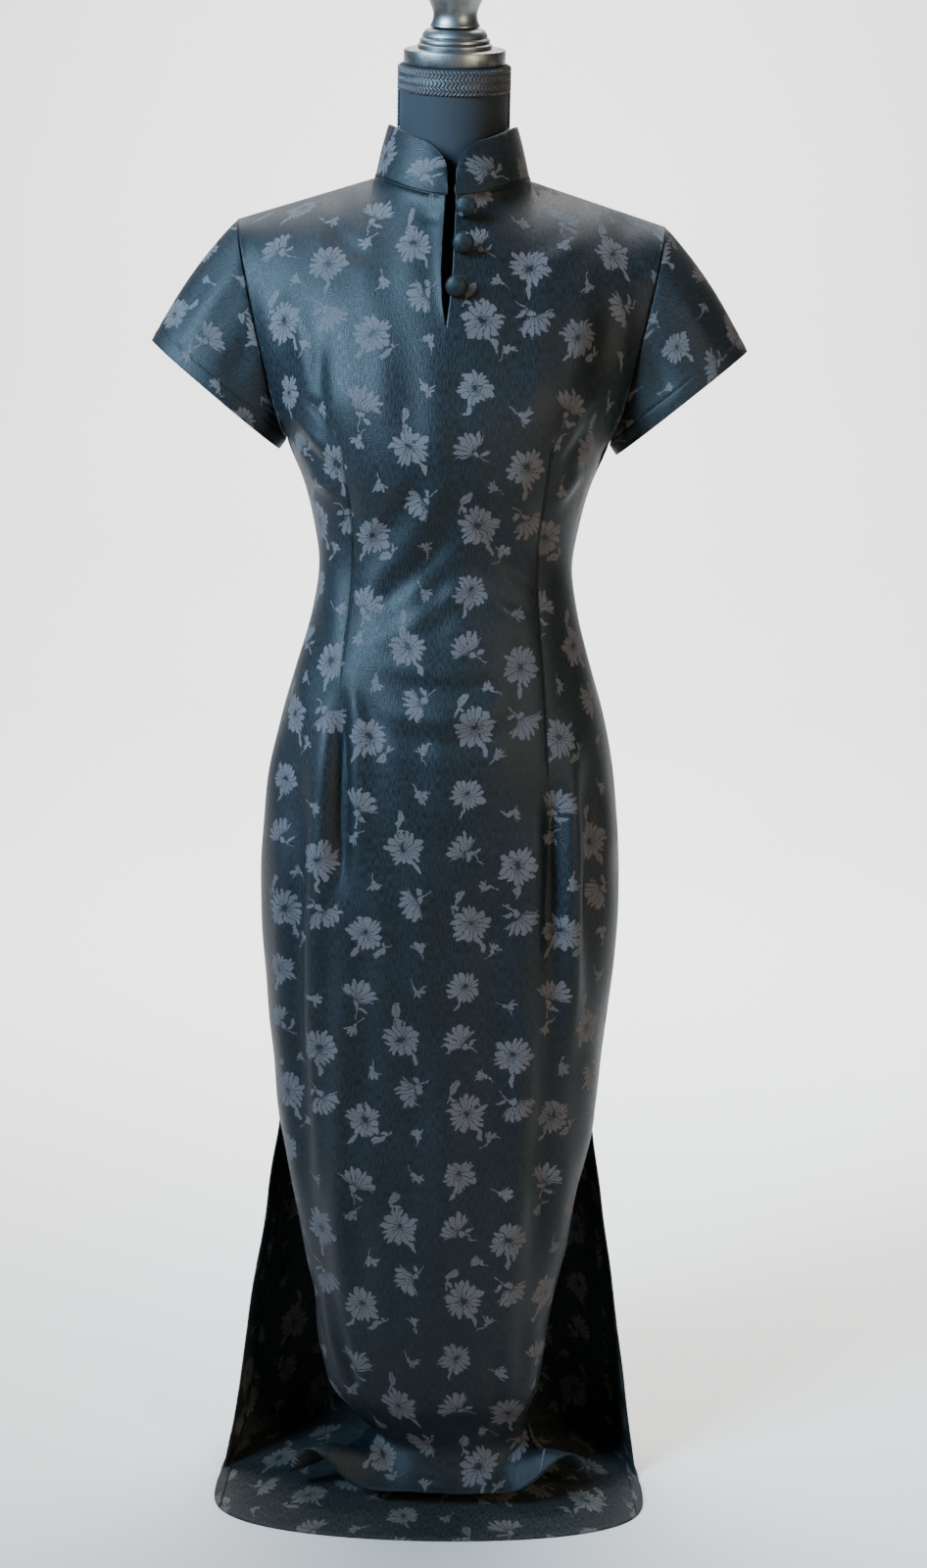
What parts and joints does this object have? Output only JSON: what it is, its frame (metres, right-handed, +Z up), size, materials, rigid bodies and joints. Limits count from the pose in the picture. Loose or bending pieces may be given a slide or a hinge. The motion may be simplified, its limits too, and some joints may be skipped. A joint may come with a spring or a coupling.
{
  "type": "cheongsam dress on a dress form",
  "caption": "Floor-length fitted cheongsam with a stand collar, cap sleeves, neck slit and side slits, worn by a limbless dress form on a pole and round base.",
  "frame": {"origin": "on the surface the part stands on, below the form's pole, on the underside of the back panel where it lies flat", "axes": "+Z up along the pole, -Y towards the dress's front, +X towards the wearer's left"},
  "size_m": [0.548, 0.286, 1.4516],
  "materials": {
    "satin": "dark teal-black satin jacquard with grey-mauve tossed daisies, satin sheen",
    "satin_wrong_side": "wrong side of the jacquard, duller",
    "jersey": "matt black knitted cover",
    "braid": "black gimp braid",
    "pewter": "aged pewter colour, satin",
    "pole_steel": "polished tube",
    "black_paint": "satin black paint on cast iron"
  },
  "bodies": {
    "root": {"front_panel": "satin", "back_panel": "satin", "sleeve_left": "satin", "sleeve_right": "satin", "collar": "satin", "button_1": "satin", "button_2": "satin", "button_3": "satin", "back_slit_facing_left": "satin_wrong_side", "back_slit_facing_right": "satin_wrong_side", "form_torso": "jersey", "form_neck_braid": "braid", "form_side_braid_left": "braid", "form_side_braid_right": "braid", "form_cap": "pewter", "form_finial": "pewter", "form_pole": "pole_steel", "form_base": "black_paint"}
  },
  "joints": []
}
